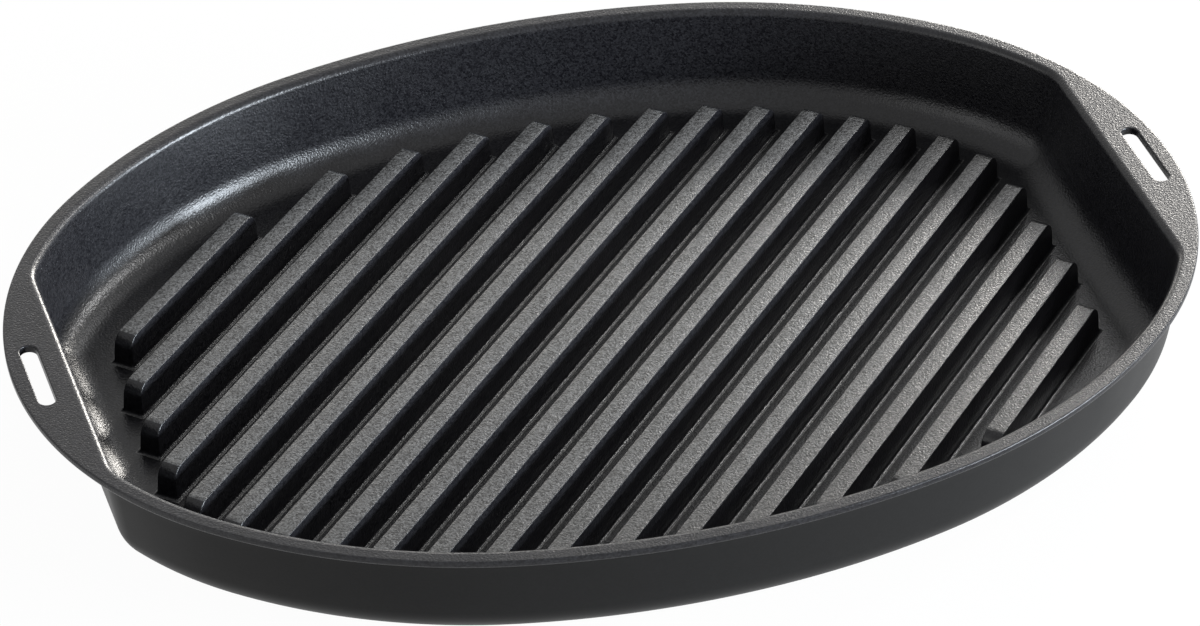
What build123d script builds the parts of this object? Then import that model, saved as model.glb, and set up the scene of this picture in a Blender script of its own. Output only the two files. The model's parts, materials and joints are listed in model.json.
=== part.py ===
from build123d import *
from math import cos, radians, sin, tan
import os

# Oval griddle plate for a table-top grill: a cast dish with a flat rim, two
# slotted handles and a floor crossed by diagonal ribs.
# The long axis is X, the depth is Y, and Z = 0 is the plane that the plate
# stands on. The origin is at the middle of that plane. Sizes are in mm.

# Overall sizes
length = 390.0              # over the tips of both handles
width = 290.0               # over the rim at the middle of the long sides
pan_height = 37.0           # from the top of the rim to the underside of the floor

# Shape of the oval: each quarter is three arcs that meet where the outline
# faces these angles, measured from the Y axis
side_arc_end = 13.7
shoulder_arc_end = 42.5
shoulder_share = 0.447      # shoulder radius as a part of the other two together

# Rim and handles
rim_thickness = 2.6
rim_width = 6.1             # from the outer edge to the inner wall, at the long sides
rim_top_chamfer = 0.4
rim_bottom_chamfer = 1.0
mouth_radius = 1.7          # rounded inner edge of the rim
handle_depth = 19.0         # from the handle's tip to the straight end wall
handle_reach = 34.0         # from the handle's tip to where the long rims begin
slot_length = 32.0
slot_width = 5.6
slot_margin = 5.3           # metal between the slot and the handle's tip
slot_chamfer = 0.4

# Walls and floor
wall_thickness = 2.5
wall_draft = 7.6            # degrees that each wall leans outwards
inner_corner = 18.0         # radius of the four corners beside the handles, inside
outer_corner = 19.0         # and outside
floor_thickness = 2.8
inner_bend = 12.0           # radius between the wall and the floor, inside
outer_bend = 13.0           # and outside
neck_chamfer = 1.0          # under the rim, where the wall meets it

# Ribs
rib_count = 18
rib_height = 11.0
rib_width = 6.2             # across the top
rib_draft = 3.0
rib_angle = 45.0            # direction of the ribs, from the X axis
rib_end_radius = 4.5
rib_edge_chamfer = 0.5
rib_foot_flare = 0.8
rib_end_gap = 5.8           # from the ribs' ends to the bend of the wall
rib_field_corner = 50.0
rib_field_margin = 11.0     # from the last rib's middle to the rib field's edge
corner_rib_trim = 4.2       # the first and the last rib stop this much earlier at both ends

# Underside: two low ridges guide the heater, and a round pad meets its sensor
ridge_height = 2.4
ridge_width = 3.0
ridge_draft = 12.0
heater_inset = 60.0         # from the rim's outer edge to the outer ridge
heater_channel = 10.0       # room between the ridges
pad_diameter = 36.0
pad_height = 1.4
pad_chamfer = 0.4

# Levels
floor_bottom = ridge_height
floor_top = floor_bottom + floor_thickness
bend_top = floor_top + inner_bend
rim_top = floor_bottom + pan_height
rim_bottom = rim_top - rim_thickness

# Place of the straight end walls, at the level of the rim's top
end_wall_x = length / 2 - handle_depth

# From the inner wall's top to the flat part of the floor
lean = tan(radians(wall_draft))
bend_turn = tan(radians((90 - wall_draft) / 2))
floor_inset = lean * (rim_top - floor_top) + inner_bend * bend_turn + 0.2


def oval_radii():
    """Side, shoulder and end radii with which the arcs reach the length and width."""
    a, b = radians(side_arc_end), radians(shoulder_arc_end)
    across = shoulder_share * (sin(b) - sin(a))
    along = shoulder_share * (cos(a) - cos(b))
    # the arcs' steps in X and in Y add up to half the length and half the width
    side_x, end_x = sin(a) + across, 1 - sin(b) + across
    side_y, end_y = 1 - cos(a) + along, cos(b) + along
    determinant = side_x * end_y - end_x * side_y
    side = (length / 2 * end_y - end_x * width / 2) / determinant
    end = (side_x * width / 2 - side_y * length / 2) / determinant
    return side, shoulder_share * (side + end), end


side_radius, shoulder_radius, end_radius = oval_radii()


def oval(inset):
    """Face of the oval outline, moved inwards by the inset."""
    a, b = side_arc_end, shoulder_arc_end
    side_y = width / 2 - side_radius
    end_x = length / 2 - end_radius
    step = side_radius - shoulder_radius
    shoulder_x = step * sin(radians(a))
    shoulder_y = side_y + step * cos(radians(a))
    arcs = []
    for up in (1, -1):
        arcs.append(CenterArc((0, up * side_y), side_radius - inset, up * 90 - a, 2 * a))
    for right, facing in ((1, 0), (-1, 180)):
        start = facing - (90 - b)
        arcs.append(CenterArc((right * end_x, 0), end_radius - inset, start, 2 * (90 - b)))
    for right, up, start in ((1, 1, 90 - b), (-1, 1, 90 + a), (-1, -1, 270 - b), (1, -1, 270 + a)):
        centre = (right * shoulder_x, up * shoulder_y)
        arcs.append(CenterArc(centre, shoulder_radius - inset, start, b - a))
    return make_face(Wire([arc.edge() for arc in arcs]))


def mouth(inset, corner):
    """Face of the dish's mouth: the oval cut straight at both ends, with round corners."""
    end_x = end_wall_x - inset
    cut = oval(rim_width + inset) & Rectangle(2 * end_x, width)
    corners = cut.vertices().filter_by(lambda v: abs(abs(v.X) - end_x) < 0.001)
    # a rounding has room as long as it still ends on the end arc
    share = sin(radians(shoulder_arc_end))
    from_centre = end_x - length / 2 + end_radius
    room = (from_centre - share * (end_radius - rim_width - inset)) / (1 - share)
    return fillet(corners, min(corner, 0.99 * room))


def tub(inset, corner, bottom, bend):
    """Solid with the dish's drafted sides and rounded bottom edge."""
    depth = rim_top - bottom
    solid = extrude(Pos(0, 0, rim_top) * mouth(inset, corner), amount=-depth, taper=wall_draft)
    # the bend has to fit inside what the draft leaves of the corners
    bend = min(bend, (corner - lean * depth - 0.5) / bend_turn)
    return fillet(solid.faces().sort_by(Axis.Z)[0].edges(), bend)


def flat_face(solid, level):
    """The largest level face at a height."""
    faces = solid.faces().filter_by(Axis.Z).filter_by(lambda f: abs(f.center().Z - level) < 0.001)
    return faces.sort_by(SortBy.AREA)[-1]


def block(outline, bottom, top):
    """Upright solid over an outline, between two levels."""
    return extrude(Pos(0, 0, bottom) * outline, amount=top - bottom)


def casting():
    """The whole dish with its rim, before it is divided into regions."""
    body = block(oval(0), rim_bottom, rim_top)
    body += tub(-wall_thickness, outer_corner, floor_bottom, outer_bend)
    body = chamfer(flat_face(body, rim_bottom).inner_wires()[0].edges(), neck_chamfer)
    body -= tub(0, inner_corner, floor_top, inner_bend)
    body = fillet(flat_face(body, rim_top).inner_wires()[0].edges(), mouth_radius)
    body = chamfer(flat_face(body, rim_top).outer_wire().edges(), rim_top_chamfer)
    body = chamfer(flat_face(body, rim_bottom).outer_wire().edges(), rim_bottom_chamfer)
    # the handles' slots, with bevelled upper edges
    x = length / 2 - slot_margin - slot_width / 2
    slot = block(SlotOverall(slot_length, slot_width, rotation=90), rim_bottom, rim_top)
    body -= [Pos(x, 0, 0) * slot, Pos(-x, 0, 0) * slot]
    openings = flat_face(body, rim_top).inner_wires().sort_by(SortBy.LENGTH)[:2]
    return chamfer([edge for wire in openings for edge in wire.edges()], slot_chamfer)


def dish_regions():
    """The floor, its bend, the four walls, both handles and both long rims."""
    body = casting()
    whole = Rectangle(length, width)
    flat = block(mouth(floor_inset, max(inner_corner - floor_inset, 0.5)), 0, rim_bottom)
    lower = body & block(whole, 0, bend_top)
    right_end = Pos(length / 2 - handle_reach / 2, 0) * Rectangle(handle_reach, width)
    back_half = Pos(0, width / 4) * Rectangle(length - 2 * handle_reach, width / 2)
    regions = {"floor": lower & flat, "floor_bend": lower - flat}
    for name, bottom, top in (("wall", bend_top, rim_bottom), ("rim", rim_bottom, rim_top)):
        band = body & block(whole, bottom, top)
        end_name = "end_wall" if name == "wall" else "handle"
        regions[f"right_{end_name}"] = band & block(right_end, bottom, top)
        regions[f"left_{end_name}"] = band & block(Rot(0, 0, 180) * right_end, bottom, top)
        regions[f"back_{name}"] = band & block(back_half, bottom, top)
        regions[f"front_{name}"] = band & block(Rot(0, 0, 180) * back_half, bottom, top)
    return regions


def rib(run):
    """One rib of a length along X, with the middle of its foot at the origin."""
    low = (Align.CENTER, Align.MIN)
    foot_width = rib_width + 2 * rib_height * tan(radians(rib_draft))
    section = Trapezoid(foot_width, rib_height, 90 - rib_draft, align=low)
    outline = Trapezoid(run, rib_height, 90 - rib_draft, align=low)
    outline = fillet(outline.vertices().group_by(Axis.Y)[-1], rib_end_radius)
    bar = extrude(Plane.XZ * outline, amount=foot_width, both=True)
    bar &= extrude(Plane.YZ * section, amount=run, both=True)
    # bevel every edge of the two long sides but the foot's
    long_sides = bar.faces().filter_by(lambda f: abs(f.normal_at(f.center()).Y) > 0.9)
    sharp = [edge for face in long_sides for edge in face.edges() if edge.center().Z > 0.1]
    bar = chamfer(sharp, rib_edge_chamfer)
    # flare the foot into the floor
    ground = Pos(0, 0, -1) * Box(run + 20, foot_width + 20, 2)
    seated = bar + ground
    seated = chamfer(flat_face(seated, 0).inner_wires()[0].edges(), rib_foot_flare)
    return seated - ground


def ribs():
    """The ribs, each as long as the rounded rib field is at its place."""
    field = Rot(0, 0, -rib_angle) * mouth(floor_inset + rib_end_gap, rib_field_corner)
    half = field.bounding_box().max.Y
    pitch = 2 * (half - rib_field_margin) / (rib_count - 1)
    row = {}
    for number in range(rib_count):
        y = ((rib_count - 1) / 2 - number) * pitch
        run = (Line((-length, y), (length, y)) & field).bounding_box()
        trim = 2 * corner_rib_trim if number in (0, rib_count - 1) else 0
        place = Rot(0, 0, rib_angle) * Pos(run.center().X, y, floor_top)
        row[f"rib_{number + 1:02d}"] = place * rib(run.size.X - trim)
    return row


def heater_ridge(inset):
    """Low oval ridge below the floor, with drafted sides."""
    outer = Pos(0, 0, floor_bottom) * oval(inset)
    inner = Pos(0, 0, floor_bottom) * oval(inset + ridge_width)
    ring = extrude(outer, amount=-ridge_height, taper=ridge_draft)
    return ring - extrude(inner, amount=-ridge_height, taper=-ridge_draft)


def underside():
    """The two ridges on both sides of the heater, and the pad in the middle."""
    pad = block(Circle(pad_diameter / 2), floor_bottom - pad_height, floor_bottom)
    return {
        "outer_heater_ridge": heater_ridge(heater_inset),
        "inner_heater_ridge": heater_ridge(heater_inset + ridge_width + heater_channel),
        "thermostat_pad": chamfer(pad.edges().group_by(Axis.Z)[0], pad_chamfer),
    }


os.makedirs("parts", exist_ok=True)
for name, shape in (dish_regions() | ribs() | underside()).items():
    export_step(shape, f"parts/{name}.step")
    print(name, shape.bounding_box(), len(shape.solids()), "solid")
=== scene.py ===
# %% Load the CAD frame
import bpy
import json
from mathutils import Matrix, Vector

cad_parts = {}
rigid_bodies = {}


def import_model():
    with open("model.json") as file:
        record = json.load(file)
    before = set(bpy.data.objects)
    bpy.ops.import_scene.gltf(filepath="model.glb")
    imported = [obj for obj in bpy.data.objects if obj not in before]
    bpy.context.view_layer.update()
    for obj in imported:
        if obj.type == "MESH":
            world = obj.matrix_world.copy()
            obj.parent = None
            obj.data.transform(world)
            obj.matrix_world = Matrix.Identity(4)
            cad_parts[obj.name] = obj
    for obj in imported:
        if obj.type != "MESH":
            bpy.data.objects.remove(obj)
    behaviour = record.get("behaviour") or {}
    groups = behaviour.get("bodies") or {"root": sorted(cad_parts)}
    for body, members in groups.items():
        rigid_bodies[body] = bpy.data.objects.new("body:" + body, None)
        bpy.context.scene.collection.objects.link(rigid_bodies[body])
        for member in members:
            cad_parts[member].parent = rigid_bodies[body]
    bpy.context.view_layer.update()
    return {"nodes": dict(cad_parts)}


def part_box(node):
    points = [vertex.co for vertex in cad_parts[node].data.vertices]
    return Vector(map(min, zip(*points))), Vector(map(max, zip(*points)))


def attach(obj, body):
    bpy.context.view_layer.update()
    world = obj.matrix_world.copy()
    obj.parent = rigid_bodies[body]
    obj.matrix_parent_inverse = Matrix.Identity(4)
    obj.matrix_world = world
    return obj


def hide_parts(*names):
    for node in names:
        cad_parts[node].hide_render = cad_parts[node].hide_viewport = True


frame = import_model()

import json
from math import atan2, cos, degrees, pi, radians, sin, sqrt, tan

import bmesh
import bpy
from mathutils import Matrix, Vector

for leftover in ("Cube", "Light", "Camera"):
    if leftover in bpy.data.objects:
        bpy.data.objects.remove(bpy.data.objects[leftover])

# %% [markdown]
# An oval griddle plate is one aluminium casting: a deep dish with a flat rim,
# two handles with slots, and diagonal ribs on its floor. The CAD model gives
# every place and size. Here the same shapes are made again with closely spaced
# rows of faces, because a satin coating shows every coarse facet as a band.
#
# The sizes below are the casting's own, in metres. The heights come from the
# frame, so that the pieces stay where the CAD has them.

# %% Sizes of the casting
mm = 0.001
rim_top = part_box("left_handle")[1][2]
rim_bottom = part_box("left_handle")[0][2]
floor_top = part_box("floor")[1][2]
floor_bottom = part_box("floor")[0][2]
half_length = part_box("right_handle")[1][0]
half_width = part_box("back_rim")[1][1]
rim_width = 6.1 * mm
wall_thickness = 2.5 * mm
draft = radians(7.6)
handle_depth = 19 * mm
end_wall_x = half_length - handle_depth
corner_radius = 18 * mm
inner_bend = 12 * mm
outer_bend = 13 * mm
close = 0.01 * mm  # points nearer to each other than this are in one place
print("rim from", round(rim_bottom, 5), "to", round(rim_top, 5), "floor top", round(floor_top, 5))

# %% [markdown]
# The oval is drawn as a draughtsman draws one: with arcs that meet smoothly.
# Each quarter has a long side arc, a shoulder arc and an end arc, which share
# a right angle. Two of the turns are given, and the radii follow from the
# length and the width. A scaled circle would be quicker, but its walls
# wouldn't keep one thickness.

# %% Arcs of the oval
side_turn, shoulder_turn = radians(13.7), radians(28.8)
end_turn = pi / 2 - side_turn - shoulder_turn
shoulder_share = 0.447  # shoulder radius as a part of the other two together
side_end, shoulder_end = side_turn, side_turn + shoulder_turn
across = shoulder_share * (sin(shoulder_end) - sin(side_end))
along = shoulder_share * (cos(side_end) - cos(shoulder_end))
side_x, end_x = sin(side_end) + across, 1 - sin(shoulder_end) + across
side_y, end_y = 1 - cos(side_end) + along, cos(shoulder_end) + along
determinant = side_x * end_y - end_x * side_y
side_radius = (half_length * end_y - end_x * half_width) / determinant
end_radius = (side_x * half_width - side_y * half_length) / determinant
shoulder_radius = shoulder_share * (side_radius + end_radius)
side_centre = (0, half_width - side_radius)
step = side_radius - shoulder_radius
shoulder_centre = (step * sin(side_end), side_centre[1] + step * cos(side_end))
end_centre = (half_length - end_radius, 0)
print("arc radii in mm:", [round(r / mm, 1) for r in (side_radius, shoulder_radius, end_radius)])

# %% [markdown]
# The dish's mouth follows the same arcs, further in, until a rounded corner
# turns into the straight end wall beside the handle. The corner's arc touches
# the end arc from inside, which gives its centre.

# %% Corner beside the handle
corner_x = end_wall_x - corner_radius
reach = end_radius - rim_width - corner_radius
corner_y = sqrt(reach ** 2 - (corner_x - end_centre[0]) ** 2)
corner_centre = (corner_x, corner_y)
corner_turn = atan2(corner_y, corner_x - end_centre[0])
print("corner turns by", round(degrees(corner_turn), 1), "degrees")

# %% [markdown]
# A section is drawn in the plane x = 0, as on squared paper. One helper starts
# an empty mesh, one puts down a single point, and the other two carry the
# point along a straight line or an arc. Extrude and spin leave the new point
# selected, so the next step starts there.

# %% Drawing helpers
def start_section(name):
    """Starts an empty mesh and stays in edit mode."""
    bpy.ops.object.select_all(action="DESELECT")
    bpy.ops.mesh.primitive_plane_add(size=mm)
    piece = bpy.context.object
    piece.name = piece.data.name = name
    bpy.ops.object.mode_set(mode="EDIT")
    bpy.ops.mesh.select_mode(type="VERT")
    bpy.ops.mesh.delete(type="VERT")
    return piece


def put_point(y, z):
    """Puts one selected point into the plane x = 0."""
    bpy.ops.mesh.select_all(action="DESELECT")
    bpy.ops.mesh.primitive_plane_add(size=mm, location=(0, 0, 0))
    bpy.ops.mesh.merge(type="CENTER")
    bpy.ops.transform.translate(value=(0, y, z))


def line_by(dy, dz):
    """Draws a straight line from the selected point."""
    bpy.ops.mesh.extrude_vertices_move(TRANSFORM_OT_translate={"value": (0, dy, dz)})


def arc_about(y, z, turn, steps):
    """Draws an arc about a centre. A positive turn goes from +Y towards +Z."""
    # with no window, a positive spin angle turns clockwise about its axis
    bpy.ops.mesh.spin(steps=steps, angle=-turn, center=(0, y, z), axis=(1, 0, 0))


def at(inset):
    """Y of a point that lies this far in from the rim's outer edge."""
    return half_width - inset


# %% [markdown]
# The section of the dish has an inner and an outer line. Both lean outwards by
# the draft, so their arcs turn by a little less than a right angle. Each line
# begins and ends with a short flat stretch: it keeps the shading of the
# roundings from spreading over the flat faces beside them.
#
# A thick coating softens a casting's edges. The rim's inner edge has a rounding
# of 2.5 mm here, a little more than in the CAD, because in the photograph it
# catches a broad line of light.

# %% Inner line of the dish: rim, mouth, wall, bend and floor
flat = 0.4 * mm
mouth_radius = 2.5 * mm
wall_steps = 4
quarter_less_draft = pi / 2 - draft

dish = start_section("dish")
mouth_in = rim_width - mouth_radius * (1 - sin(draft)) / cos(draft)
mouth_z = rim_top - mouth_radius
bend_z = floor_top + inner_bend
bend_in = rim_width + (inner_bend + sin(draft) * (rim_top - bend_z)) / cos(draft)
wall_start = (mouth_in + mouth_radius * cos(draft), mouth_z + mouth_radius * sin(draft))
wall_end = (bend_in - inner_bend * cos(draft), bend_z - inner_bend * sin(draft))
put_point(at(mouth_in - flat), rim_top)
line_by(-flat, 0)
arc_about(at(mouth_in), mouth_z, quarter_less_draft, steps=8)
for _ in range(wall_steps):
    line_by((wall_start[0] - wall_end[0]) / wall_steps, (wall_end[1] - wall_start[1]) / wall_steps)
arc_about(at(bend_in), bend_z, -quarter_less_draft, steps=16)
line_by(-flat, 0)
dish.update_from_editmode()
print("inner line:", len(dish.data.vertices), "points")

# %% [markdown]
# The outer line lies one wall thickness outside the inner one. Where the wall
# meets the underside of the rim it has a small hollow rounding, the neck, which
# a casting needs so that the metal flows and doesn't crack there.

# %% Outer line of the dish: under the rim, neck, wall, bend and underside
neck_radius = 1.2 * mm
outer_in = rim_width - wall_thickness
neck_z = rim_bottom - neck_radius
neck_in = outer_in - (neck_radius - sin(draft) * (rim_top - neck_z)) / cos(draft)
foot_z = floor_bottom + outer_bend
foot_in = outer_in + (outer_bend + sin(draft) * (rim_top - foot_z)) / cos(draft)
neck_end = (neck_in + neck_radius * cos(draft), neck_z + neck_radius * sin(draft))
foot_start = (foot_in - outer_bend * cos(draft), foot_z - outer_bend * sin(draft))
put_point(at(neck_in - flat), rim_bottom)
line_by(-flat, 0)
arc_about(at(neck_in), neck_z, quarter_less_draft, steps=5)
for _ in range(wall_steps):
    line_by((neck_end[0] - foot_start[0]) / wall_steps, (foot_start[1] - neck_end[1]) / wall_steps)
arc_about(at(foot_in), foot_z, -quarter_less_draft, steps=14)
line_by(-flat, 0)
dish.update_from_editmode()
section = [v.co for v in dish.data.vertices]
print(len(section), "points from z", round(min(p.z for p in section), 5), "to", rim_top)

# %% [markdown]
# Spin carries the whole section round the arcs' centres, one after the other,
# and an extrusion takes it along the straight end wall. Walls that lean all
# round share these centres, so one section makes the whole quarter exactly.

# %% Sweep the dish's section round a quarter
def sweep_about(centre, turn, steps):
    """Carries the selected section clockwise about an upright axis."""
    bpy.ops.mesh.spin(steps=steps, angle=turn, center=(*centre, 0), axis=(0, 0, 1))


def sweep_by(vector, steps=1):
    """Carries the selected section along a straight line."""
    move = {"value": tuple(v / steps for v in vector)}
    for _ in range(steps):
        bpy.ops.mesh.extrude_region_move(TRANSFORM_OT_translate=move)


bpy.ops.mesh.select_all(action="SELECT")
sweep_about(side_centre, side_turn, steps=16)
sweep_about(shoulder_centre, shoulder_turn, steps=24)
sweep_about(end_centre, end_turn - corner_turn, steps=14)
sweep_about(corner_centre, corner_turn, steps=10)
sweep_by((0, -corner_y, 0), steps=6)
dish.update_from_editmode()
print("quarter of the dish:", len(dish.data.polygons), "faces")

# %% [markdown]
# The rim's outer edge has its own short section: a small rounding above and a
# larger one below, which catches a thin line of light. It goes round the oval
# itself, so it is swept about the oval's three centres only.

# %% Outer edge of the rim
top_radius = 0.5 * mm
under_radius = 1.1 * mm


def sweep_oval(side_steps, shoulder_steps, end_steps):
    """Carries the selected section round a whole quarter of the oval."""
    sweep_about(side_centre, side_turn, side_steps)
    sweep_about(shoulder_centre, shoulder_turn, shoulder_steps)
    sweep_about(end_centre, end_turn, end_steps)


put_point(at(top_radius + flat), rim_top)
line_by(flat, 0)
arc_about(at(top_radius), rim_top - top_radius, -pi / 2, steps=5)
line_by(0, -(rim_top - rim_bottom - top_radius - under_radius))
arc_about(at(under_radius), rim_bottom + under_radius, -pi / 2, steps=7)
line_by(-flat, 0)
# the new section touches nothing yet, so what is linked to its last point is all of it
bpy.ops.mesh.select_linked()
sweep_oval(16, 24, 36)
bpy.ops.object.mode_set(mode="OBJECT")
print("with the rim's edge:", len(dish.data.polygons), "faces")

# %% [markdown]
# The plate is the same left and right, and front and back. A Mirror modifier
# makes the other three quarters and joins them on the two middle planes.

# %% Mirror the quarter twice
def mirror_quarter(piece):
    """Mirrors a piece's quarter across x = 0 and y = 0, and applies that."""
    bpy.context.view_layer.objects.active = piece
    mirror = piece.modifiers.new("Mirror", "MIRROR")
    mirror.use_axis = (True, True, False)
    mirror.merge_threshold = close
    bpy.ops.object.modifier_apply(modifier=mirror.name)


mirror_quarter(dish)
print("whole dish:", len(dish.data.polygons), "faces")

# %% [markdown]
# Each handle has a slot with round ends. A boolean would cut one in a single
# step, but the cut's edge would still need its rounding. So the slot's edge is
# a section too. It starts at the slot's tip and goes once round: a quarter turn,
# one side, a half turn at the other end, the second side and the last quarter.

# %% Slots in the handles
slot_radius = 2.8 * mm
slot_straight = 32 * mm - 2 * slot_radius
slot_margin = 5.3 * mm
slot_x = half_length - slot_margin - slot_radius
edge_radius = 0.4 * mm


def cut_slot(x):
    """Draws the inside of one slot at its place along the plate."""
    # the section stands in the plane x = 0, so the slot is made there and then moved
    start = slot_straight / 2 + slot_radius
    put_point(start + edge_radius + flat / 2, rim_top)
    line_by(-flat / 2, 0)
    arc_about(start + edge_radius, rim_top - edge_radius, pi / 2, steps=4)
    line_by(0, -(rim_top - rim_bottom - edge_radius))
    line_by(flat / 2, 0)
    bpy.ops.mesh.select_linked()
    sweep_about((0, slot_straight / 2), pi / 2, steps=10)
    sweep_by((0, -slot_straight, 0))
    sweep_about((0, -slot_straight / 2), pi, steps=20)
    sweep_by((0, slot_straight, 0))
    sweep_about((0, slot_straight / 2), pi / 2, steps=10)
    bpy.ops.mesh.select_linked()
    bpy.ops.transform.translate(value=(x, 0, 0))


bpy.ops.object.mode_set(mode="EDIT")
cut_slot(slot_x)
cut_slot(-slot_x)
dish.update_from_editmode()
print("with both slots:", len(dish.data.polygons), "faces")

# %% [markdown]
# From here on, parts of a mesh are picked by their place, as a modeller would
# click on them. One helper does it for points, edges and faces alike: it takes
# a test and selects what passes.

# %% Selecting by a test
def select_where(piece, kind, wanted):
    """In edit mode, selects the points, edges or faces that a test accepts."""
    bpy.ops.mesh.select_mode(type=kind)
    bpy.ops.mesh.select_all(action="DESELECT")
    mesh = bmesh.from_edit_mesh(piece.data)
    elements = {"VERT": mesh.verts, "EDGE": mesh.edges, "FACE": mesh.faces}[kind]
    chosen = [element for element in elements if wanted(element)]
    for element in chosen:
        element.select_set(True)
    bmesh.update_edit_mesh(piece.data)
    return len(chosen)


def all_at(element, level):
    """True if every point of an edge or a face lies at one height."""
    return all(abs(v.co.z - level) < close for v in element.verts)


print("points count as level within", close, "m")

# %% [markdown]
# What is still open are four flat faces: the top and the underside of the rim,
# and the top and the underside of the floor. Each is bounded by loops at one
# height, so the loops are found by their height and filled. Fill leaves the
# mouth and the slots open, because their loops lie inside the outer one.

# %% Close the flat faces
smooth_below = radians(35)  # edges that turn by less than this are shaded smooth

bpy.ops.mesh.select_all(action="SELECT")
bpy.ops.mesh.remove_doubles(threshold=close)
for level in (rim_top, rim_bottom, floor_top, floor_bottom):
    count = select_where(dish, "EDGE", lambda edge: edge.is_boundary and all_at(edge, level))
    bpy.ops.mesh.fill(use_beauty=True)
    print("level", round(level / mm, 2), "mm:", count, "edges filled")
bpy.ops.mesh.select_all(action="SELECT")
bpy.ops.mesh.normals_make_consistent(inside=False)
left_open = select_where(dish, "EDGE", lambda edge: not edge.is_manifold)
bpy.ops.object.mode_set(mode="OBJECT")
bpy.ops.object.shade_smooth_by_angle(angle=smooth_below)
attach(dish, "root")
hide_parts("floor", "floor_bend", "back_wall", "front_wall", "left_end_wall",
            "right_end_wall", "left_handle", "right_handle", "back_rim", "front_rim")
print("edges left open:", left_open, "faces:", len(dish.data.polygons))

# %% [markdown]
# A rib is a bar with drafted sides, so that the casting leaves its mould. Its
# top slopes down to each end in a round shoulder, and its long edges are softly
# rounded. It could be swept along a path, but a cube with a bevel for each
# rounding takes fewer steps. The cube ends where the foot's flare begins.

# %% Model one rib
rib_height = 11 * mm
rib_width = 6.2 * mm
rib_draft = radians(3)
rib_end_radius = 4.5 * mm
rib_edge_radius = 0.45 * mm
flare = 1.2 * mm
model_run = 100 * mm
foot_width = rib_width + 2 * rib_height * tan(rib_draft)
bar_height = rib_height - flare
bar_foot = foot_width - 2 * flare * tan(rib_draft)
slope = bar_height * tan(rib_draft)


def along_y(edge):
    """True for an edge that runs straight across the bar."""
    return abs(edge.verts[0].co.x - edge.verts[1].co.x) < close


def borders_long_side(edge):
    """True for an edge between a long side and another face, above the foot."""
    long_sides = sum(abs(face.normal.y) > 0.9 for face in edge.link_faces)
    return long_sides == 1 and max(v.co.z for v in edge.verts) > flare + close


bpy.ops.object.select_all(action="DESELECT")
bpy.ops.mesh.primitive_cube_add(size=1)
rib = bpy.context.object
rib.name = rib.data.name = "rib"
bpy.ops.object.mode_set(mode="EDIT")
bpy.ops.transform.resize(value=(model_run, bar_foot, bar_height))
bpy.ops.transform.translate(value=(0, 0, flare + bar_height / 2))
select_where(rib, "EDGE", lambda edge: all_at(edge, rib_height))
bpy.ops.transform.resize(value=((model_run - 2 * slope) / model_run, rib_width / bar_foot, 1))
select_where(rib, "EDGE", lambda edge: all_at(edge, rib_height) and along_y(edge))
bpy.ops.mesh.bevel(offset=rib_end_radius, segments=10, profile=0.5, affect="EDGES")
select_where(rib, "EDGE", borders_long_side)
bpy.ops.mesh.bevel(offset=rib_edge_radius, segments=4, profile=0.5, affect="EDGES")
rib.update_from_editmode()
print("rib with rounded edges:", len(rib.data.polygons), "faces")

# %% [markdown]
# The foot spreads into the floor in a hollow quarter round, because molten
# metal leaves no sharp inner corner. The bottom face is extruded down in short
# steps, and each step is scaled so that its edge follows the quarter round.

# %% Flare the rib's foot
flare_steps = 5
run, across_foot = model_run, bar_foot
select_where(rib, "FACE", lambda face: face.normal.z < -0.9)
for number in range(flare_steps):
    turn, turned = pi / 2 * number / flare_steps, pi / 2 * (number + 1) / flare_steps
    drop = flare * (sin(turned) - sin(turn))
    grow = 2 * flare * (cos(turn) - cos(turned))
    bpy.ops.mesh.extrude_region_move(TRANSFORM_OT_translate={"value": (0, 0, -drop)})
    bpy.ops.transform.resize(value=((run + grow) / run, (across_foot + grow) / across_foot, 1))
    run, across_foot = run + grow, across_foot + grow
bpy.ops.object.mode_set(mode="OBJECT")
bpy.ops.object.shade_smooth_by_angle(angle=smooth_below)
print("rib's foot:", round(run / mm, 2), "by", round(across_foot / mm, 2), "mm")

# %% [markdown]
# All eighteen ribs have this section and differ only in length. So the rib is
# copied, each copy with a mesh of its own, and its two halves are moved apart
# until it is as long as its node in the CAD frame. The foot's flare is a little
# wider here than in the CAD, and that much is left out of the comparison. Then
# the copy is turned and moved to its place, which is applied to the mesh.

# %% Copy the rib to every place
rib_angle = radians(45)
cad_flare = 0.8 * mm
cad_like_run = run - 2 * (flare - cad_flare)
direction = Vector((cos(rib_angle), sin(rib_angle), 0))
sideways = Vector((-sin(rib_angle), cos(rib_angle), 0))
rib_copies = []
for name in sorted(node for node in frame["nodes"] if node.startswith("rib_")):
    points = [v.co for v in frame["nodes"][name].data.vertices]
    far, near = max(p.dot(direction) for p in points), min(p.dot(direction) for p in points)
    left, right = max(p.dot(sideways) for p in points), min(p.dot(sideways) for p in points)
    grow = (far - near) - cad_like_run
    copy = rib.copy()
    copy.data = rib.data.copy()
    copy.name = copy.data.name = "grill_" + name
    bpy.context.collection.objects.link(copy)
    for vertex in copy.data.vertices:
        vertex.co.x += grow / 2 if vertex.co.x > 0 else -grow / 2
    middle = direction * (far + near) / 2 + sideways * (left + right) / 2
    copy.location = (middle.x, middle.y, floor_top)
    copy.rotation_euler = (0, 0, rib_angle)
    bpy.ops.object.select_all(action="DESELECT")
    copy.select_set(True)
    bpy.context.view_layer.objects.active = copy
    bpy.ops.object.transform_apply(location=True, rotation=True, scale=True)
    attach(copy, "root")
    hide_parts(name)
    rib_copies.append(copy)
bpy.data.objects.remove(rib)
print(len(rib_copies), "ribs, the last one", round((far - near) / mm, 1), "mm long")

# %% [markdown]
# Under the floor are two low oval ridges with room for the heater between them.
# They are swept like the dish, from a section with rounded lower edges. Its two
# upper points are joined first, so that the sweep makes a closed ring with its
# seat on the floor.

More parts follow.
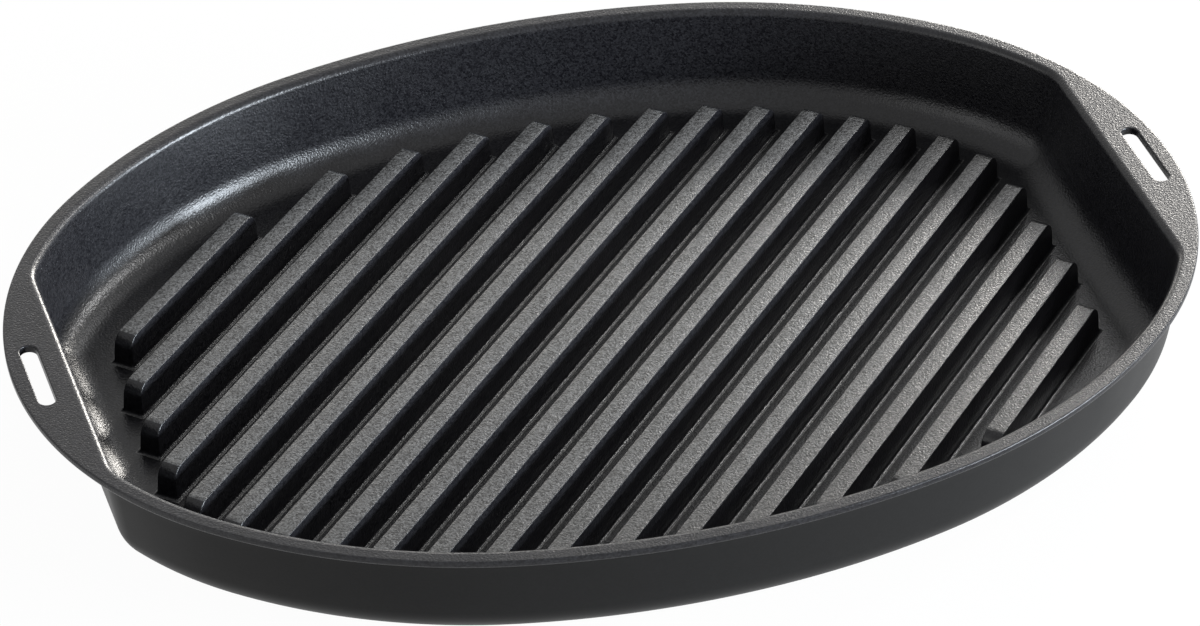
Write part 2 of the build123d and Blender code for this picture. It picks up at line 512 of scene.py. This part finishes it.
# %% Ridges under the floor
ridge_width = 3 * mm
ridge_draft = radians(12)
ridge_edge = 0.7 * mm
heater_inset = 60 * mm
heater_channel = 10 * mm


def make_ridge(name, inset):
    """Sweeps one low ridge round the oval, at an inset from the rim's edge."""
    ridge = start_section(name)
    narrowing = floor_bottom * tan(ridge_draft)
    put_point(at(inset), floor_bottom)
    line_by(-narrowing, -floor_bottom)
    line_by(-(ridge_width - 2 * narrowing), 0)
    line_by(-narrowing, floor_bottom)
    select_where(ridge, "VERT", lambda vertex: vertex.co.z < close)
    bpy.ops.mesh.bevel(offset=ridge_edge, segments=4, affect="VERTICES")
    select_where(ridge, "VERT", lambda vertex: vertex.co.z > floor_bottom - close)
    bpy.ops.mesh.edge_face_add()
    bpy.ops.mesh.select_all(action="SELECT")
    sweep_oval(14, 20, 24)
    bpy.ops.object.mode_set(mode="OBJECT")
    mirror_quarter(ridge)
    bpy.ops.object.mode_set(mode="EDIT")
    bpy.ops.mesh.select_all(action="SELECT")
    bpy.ops.mesh.normals_make_consistent(inside=False)
    bpy.ops.object.mode_set(mode="OBJECT")
    bpy.ops.object.shade_smooth_by_angle(angle=smooth_below)
    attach(ridge, "root")
    return ridge


underside_pieces = []
for name, inset in (("outer_heater_ridge", heater_inset),
                    ("inner_heater_ridge", heater_inset + ridge_width + heater_channel)):
    ridge = make_ridge("under_" + name, inset)
    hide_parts(name)
    underside_pieces.append(ridge)
    print(ridge.name, len(ridge.data.polygons), "faces")

# %% [markdown]
# In the middle of the underside is a round pad that the grill's heat sensor
# touches. It is a plain cylinder from the CAD's box, with its lower edge
# rounded by a bevel.

# %% Pad under the middle
pad_low, pad_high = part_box("thermostat_pad")
pad_edge = 0.4 * mm
bpy.ops.object.select_all(action="DESELECT")
bpy.ops.mesh.primitive_cylinder_add(vertices=96, radius=pad_high[0], depth=pad_high[2] - pad_low[2],
                                    location=(0, 0, (pad_high[2] + pad_low[2]) / 2))
pad = bpy.context.object
pad.name = pad.data.name = "under_thermostat_pad"
bpy.ops.object.transform_apply(location=True, rotation=True, scale=True)
bpy.ops.object.mode_set(mode="EDIT")
select_where(pad, "EDGE", lambda edge: all_at(edge, pad_low[2]))
bpy.ops.mesh.bevel(offset=pad_edge, segments=4, affect="EDGES")
bpy.ops.object.mode_set(mode="OBJECT")
bpy.ops.object.shade_smooth_by_angle(angle=smooth_below)
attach(pad, "root")
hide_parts("thermostat_pad")
underside_pieces.append(pad)
print("pad:", len(pad.data.polygons), "faces")

# %% [markdown]
# The coating is a satin black layer that is sprayed on, so it has a fine grain
# and pale specks. Every side of the casting uses the same grain, so it is a
# node group with its own inputs. Noise gives the height of the grain, the
# colours of small cells give the specks, and a slow noise gives a mottle that
# makes the shine a little uneven.

# %% Grain of the coating as a node group
def new_group(name, inputs, outputs):
    """Makes an empty shader node group with named sockets."""
    group = bpy.data.node_groups.new(name, "ShaderNodeTree")
    for label, value in inputs.items():
        socket = group.interface.new_socket(label, in_out="INPUT", socket_type="NodeSocketFloat")
        socket.default_value = value
    for label in outputs:
        group.interface.new_socket(label, in_out="OUTPUT", socket_type="NodeSocketFloat")
    return group, group.nodes.new("NodeGroupInput"), group.nodes.new("NodeGroupOutput")


grain, grain_in, grain_out = new_group(
    "coating_grain", {"Grain Scale": 1400.0, "Speck Scale": 1700.0}, ("Height", "Specks", "Mottle"))
place = grain.nodes.new("ShaderNodeTexCoord")
fine = grain.nodes.new("ShaderNodeTexNoise")
fine.inputs["Detail"].default_value = 1.0
slow = grain.nodes.new("ShaderNodeTexNoise")
slow.inputs["Scale"].default_value = 35.0
slow.inputs["Detail"].default_value = 4.0
cells = grain.nodes.new("ShaderNodeTexVoronoi")
pick = grain.nodes.new("ShaderNodeSeparateColor")
for texture in (fine, slow, cells):
    grain.links.new(place.outputs["Object"], texture.inputs["Vector"])
grain.links.new(grain_in.outputs["Grain Scale"], fine.inputs["Scale"])
grain.links.new(grain_in.outputs["Speck Scale"], cells.inputs["Scale"])
grain.links.new(cells.outputs["Color"], pick.inputs["Color"])
grain.links.new(fine.outputs["Fac"], grain_out.inputs["Height"])
grain.links.new(pick.outputs["Red"], grain_out.inputs["Specks"])
grain.links.new(slow.outputs["Fac"], grain_out.inputs["Mottle"])
print("grain group:", len(grain.nodes), "nodes")

# %% [markdown]
# Each material places the group with its own values. The specks mix a dark and
# a lighter tone of the same black, the mottle moves the roughness a little, and
# the grain's height goes into a bump of at most 0.15 mm. The shader itself
# stays in the material, where the export can read it.

# %% A coating material
roughness_swing = 0.03


def coating(name, dark, light, roughness, bump, shine):
    """A satin coating with specks from dark to light, and a fine bump."""
    material = bpy.data.materials.new(name)
    material.use_nodes = True
    tree = material.node_tree
    shader = tree.nodes["Principled BSDF"]
    shader.inputs["IOR"].default_value = 1.5
    shader.inputs["Specular IOR Level"].default_value = shine
    group = tree.nodes.new("ShaderNodeGroup")
    group.node_tree = grain
    tone = tree.nodes.new("ShaderNodeMix")
    tone.data_type = "RGBA"
    tone.inputs["A"].default_value = (*dark, 1)
    tone.inputs["B"].default_value = (*light, 1)
    tree.links.new(group.outputs["Specks"], tone.inputs["Factor"])
    tree.links.new(tone.outputs["Result"], shader.inputs["Base Color"])
    rough = tree.nodes.new("ShaderNodeMapRange")
    rough.inputs["From Min"].default_value = 0.3
    rough.inputs["From Max"].default_value = 0.7
    rough.inputs["To Min"].default_value = roughness - roughness_swing
    rough.inputs["To Max"].default_value = roughness + roughness_swing
    tree.links.new(group.outputs["Mottle"], rough.inputs["Value"])
    tree.links.new(rough.outputs["Result"], shader.inputs["Roughness"])
    relief = tree.nodes.new("ShaderNodeBump")
    relief.inputs["Distance"].default_value = bump
    relief.inputs["Strength"].default_value = 1.0
    tree.links.new(group.outputs["Height"], relief.inputs["Height"])
    tree.links.new(relief.outputs["Normal"], shader.inputs["Normal"])
    print(name, "roughness", roughness, "bump in mm", round(bump / mm, 2))
    return material


inside_coating = coating("inside_coating", dark=(0.001, 0.001, 0.002), light=(0.014, 0.014, 0.016),
                         roughness=0.31, bump=0.12 * mm, shine=0.3)
# the lighter grey of the rib tops is painted sheen for the light they catch; the specks in it are
# the coating's grain
rib_top_specks_and_painted_sheen = coating("rib_top_specks_and_painted_sheen", dark=(0.005, 0.005, 0.005), light=(0.1, 0.1, 0.1),
                          roughness=0.34, bump=0.15 * mm, shine=0.42)
outside_coating = coating("outside_coating", dark=(0.006, 0.006, 0.006), light=(0.008, 0.008, 0.008),
                          roughness=0.42, bump=0.01 * mm, shine=0.12)
underside_coating = coating("underside_coating", dark=(0.012, 0.012, 0.013),
                            light=(0.028, 0.028, 0.029), roughness=0.5, bump=0.03 * mm, shine=0.3)

# %% [markdown]
# The inside of the dish is dark. The ribs' flat tops get a lighter, grey-specked
# tone: the specks are the coating's grain, and the lighter grey is painted sheen
# that stands in for the light the tops catch. The outside is smoother and duller
# than both. The dish is one piece, so its outside is found by its faces: they lie
# below the rim and point away from the middle, or down.

# %% Give every piece its coating
facing_up = 0.95
just_over_underside = rim_bottom + 0.1 * mm
some_way_down = Vector((0, 0, -20 * mm))


def wear(piece, *materials):
    """Gives a piece its materials. The first one is on every face."""
    piece.data.materials.clear()
    for material in materials:
        piece.data.materials.append(material)


def wear_second(piece, wanted):
    """Puts the piece's second material on the faces that a test accepts."""
    for face in piece.data.polygons:
        face.material_index = 1 if wanted(face) else 0


def on_outside(face):
    """True for a face not above the rim's underside that points outwards or down."""
    outwards = Vector((face.center.x, face.center.y, 0)) + some_way_down
    return face.center.z < just_over_underside and face.normal.dot(outwards) > 0


wear(dish, inside_coating, outside_coating)
wear_second(dish, on_outside)
for piece in rib_copies:
    wear(piece, inside_coating, rib_top_specks_and_painted_sheen)
    # only the faces that point up get the lighter grey of painted sheen, the rib sides stay black
    wear_second(piece, lambda face: face.normal.z > facing_up)
for piece in underside_pieces:
    wear(piece, underside_coating)
print("outside faces:", sum(face.material_index for face in dish.data.polygons))

# %% [markdown]
# The camera stands where the photograph was taken from. Its place was worked
# out from the rim's outline and the ribs, and it needs no shift. A long lens
# from far away keeps the oval nearly free of perspective, as in the photograph.

# %% Camera
turn_about_z = radians(-17.2624)
rise = radians(36.4739)
roll = radians(-0.9492)
camera_place = (-0.402348, -1.286988, 1.015685)
back = Vector((sin(turn_about_z) * cos(rise), -cos(turn_about_z) * cos(rise), sin(rise)))
level_right = Vector((cos(turn_about_z), sin(turn_about_z), 0))
level_up = back.cross(level_right)
right = cos(roll) * level_right + sin(roll) * level_up
up = -sin(roll) * level_right + cos(roll) * level_up
camera_data = bpy.data.cameras.new("camera")
camera_data.lens = 155.447
camera_data.sensor_width = 36
camera_data.clip_end = 20
camera = bpy.data.objects.new("camera", camera_data)
axes = Matrix((right, up, back)).transposed().to_4x4()
camera.matrix_world = Matrix.Translation(camera_place) @ axes
bpy.context.collection.objects.link(camera)
bpy.context.scene.camera = camera
print("camera at", [round(v, 3) for v in camera.location])

# %% [markdown]
# The plate lies on a white table before a white background. A table that is lit
# up to white would need so much light that the plate turned grey. So the table
# and the world show their white only to rays that see them directly, or in a
# reflection, and light the plate at a plain level. The table keeps a small
# share of its own paint, and with it a soft shadow.

# %% White for the rays that see it
def seen_directly(tree):
    """A value that is 1 for camera, glossy and transmission rays, and 0 for the others."""
    rays = tree.nodes.new("ShaderNodeLightPath")
    found = rays.outputs["Is Camera Ray"]
    for kind in ("Is Glossy Ray", "Is Transmission Ray"):
        either = tree.nodes.new("ShaderNodeMath")
        either.operation = "MAXIMUM"
        tree.links.new(found, either.inputs[0])
        tree.links.new(rays.outputs[kind], either.inputs[1])
        found = either.outputs[0]
    return found


def show_white(tree, lit, white, share, output):
    """Mixes a share of white into a shader, for the rays that see it directly."""
    part = tree.nodes.new("ShaderNodeMath")
    part.operation = "MULTIPLY"
    part.inputs[1].default_value = share
    mix = tree.nodes.new("ShaderNodeMixShader")
    tree.links.new(seen_directly(tree), part.inputs[0])
    tree.links.new(part.outputs[0], mix.inputs["Fac"])
    tree.links.new(lit.outputs[0], mix.inputs[1])
    tree.links.new(white.outputs[0], mix.inputs[2])
    tree.links.new(mix.outputs[0], output.inputs["Surface"])
    print(tree.name, "shows white by", share)


# %% [markdown]
# The table is a large plane at the height on which the plate stands, with a
# matt pale paint. It belongs to the picture and not to the plate, so it is put
# on the stage.

# %% Table
table_size = 12
bpy.ops.object.select_all(action="DESELECT")
bpy.ops.mesh.primitive_plane_add(size=table_size)
table = bpy.context.object
table.name = table.data.name = "table"
table_paint = bpy.data.materials.new("table_paint")
table_paint.use_nodes = True
tree = table_paint.node_tree
paint = tree.nodes["Principled BSDF"]
paint.inputs["Base Color"].default_value = (0.65, 0.65, 0.65, 1)
paint.inputs["Roughness"].default_value = 0.9
glow = tree.nodes.new("ShaderNodeEmission")
glow.inputs["Strength"].default_value = 1.0
show_white(tree, paint, glow, 0.97, tree.nodes["Material Output"])
wear(table, table_paint)
print("table:", table_size, "m wide")

# %% [markdown]
# The world is the studio round the table. It lights the plate evenly and dimly
# from all sides, so that no face is quite black.

# %% World
world = bpy.data.worlds.new("studio")
bpy.context.scene.world = world
world.use_nodes = True
tree = world.node_tree
seen = tree.nodes["Background"]
seen.inputs["Color"].default_value = (1, 1, 1, 1)
dim = tree.nodes.new("ShaderNodeBackground")
dim.inputs["Color"].default_value = (1, 1, 1, 1)
dim.inputs["Strength"].default_value = 0.4
show_white(tree, dim, seen, 1.0, tree.nodes["World Output"])
print("world strength for light:", round(dim.inputs["Strength"].default_value, 2))

# %% [markdown]
# A black satin casting shows mostly the reflections of its lamps, so each lamp's
# place was worked out backwards, from a highlight and the slope that mirrors it:
# - The lamp at the back right shines in the flat rim and in the ribs' tops,
#   most of all at the right, and draws the line over the left end wall.
# - The high one above it adds to the ribs' tops.
# - The weak one straight behind lifts the tops at the left a little.
# - The large cool one at the right makes the broad glow in the bend at the back
#   left.
# - The small high one at the right draws the lines along the ribs' long edges.
# - The weak one at the left opens up the shadows.

# %% Lamps
def soft_lamp(name, place, size, power, colour):
    """A flat lamp that faces the plate, with its place and size in metres."""
    data = bpy.data.lights.new(name, "AREA")
    data.shape = "RECTANGLE"
    data.size, data.size_y = size
    data.energy = power
    data.color = colour
    lamp = bpy.data.objects.new(name, data)
    bpy.context.collection.objects.link(lamp)
    lamp.location = place
    lamp.rotation_euler = (-Vector(place)).to_track_quat("-Z", "Y").to_euler()
    print(name, power, "W from", place)


warm, cool, plain = (1.0, 0.96, 0.9), (0.84, 0.92, 1.0), (1.0, 1.0, 1.0)
soft_lamp("back_right_lamp", (1.25, 1.48, 0.5), (0.8, 0.5), 56, warm)
soft_lamp("back_high_lamp", (0.95, 1.25, 1.23), (0.5, 0.4), 3.5, plain)
soft_lamp("back_lamp", (0.17, 1.92, 0.52), (0.7, 0.3), 5, warm)
soft_lamp("right_lamp", (1.66, -1.05, 0.46), (1.05, 0.5), 130, cool)
soft_lamp("right_high_lamp", (1.50, 0.3, 1.05), (0.25, 0.25), 15, plain)
soft_lamp("left_lamp", (-1.7, -0.4, 0.7), (1.2, 1.0), 6, plain)

# %% [markdown]
# The Standard view shows a colour as it is written, without a film's curve. So
# the black of the coating and the white of the table stay what they are.

# %% View settings
bpy.context.scene.view_settings.view_transform = "Standard"
print("view transform:", bpy.context.scene.view_settings.view_transform)
